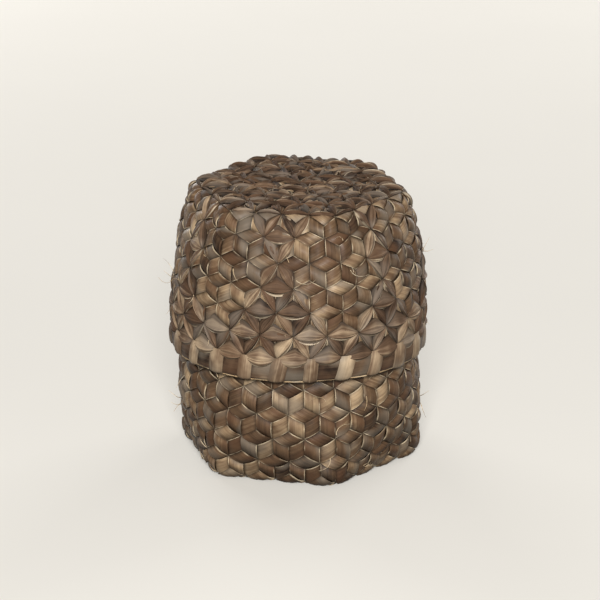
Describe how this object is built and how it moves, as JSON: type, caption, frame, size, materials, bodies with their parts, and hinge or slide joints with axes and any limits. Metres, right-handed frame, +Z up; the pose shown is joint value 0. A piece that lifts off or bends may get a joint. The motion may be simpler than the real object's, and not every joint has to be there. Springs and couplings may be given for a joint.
{
  "type": "woven lidded box",
  "caption": "Hexagon-based woven leaf box with a round neck and a telescoping cap lid patterned with relief stars; holds small dry things.",
  "frame": {"origin": "middle of the underside, on the surface the box stands on", "axes": "+Z up along the axis on which the lid lifts, a flat side of the base faces -Y"},
  "size_m": [0.104, 0.104, 0.1136],
  "materials": {
    "woven_leaf": "satin",
    "lining_leaf": "matte",
    "folded_leaf": "satin",
    "star_leaf": "satin",
    "split_cane": "matte",
    "edging_strand": "satin"
  },
  "bodies": {
    "body": {"body_floor": "woven_leaf", "body_wall": "woven_leaf", "floor_lining": "lining_leaf", "wall_lining": "lining_leaf", "mouth_hoop": "split_cane", "mouth_long_folds": "folded_leaf", "mouth_short_folds": "folded_leaf"},
    "lid": {"lid_top": "woven_leaf", "lid_wall": "woven_leaf", "lid_top_lining": "lining_leaf", "lid_wall_lining": "lining_leaf", "lid_rim_hoop": "split_cane", "lid_rim_long_folds": "folded_leaf", "lid_rim_short_folds": "folded_leaf", "lid_rim_edging": "edging_strand", "lid_top_stars": "star_leaf", "lid_wall_stars": "star_leaf"}
  },
  "joints": [
    {"name": "lid_lift", "type": "slide", "parent": "body", "child": "lid", "axis": [0, 0, 1], "range_m": [0, 0.06]}
  ]
}
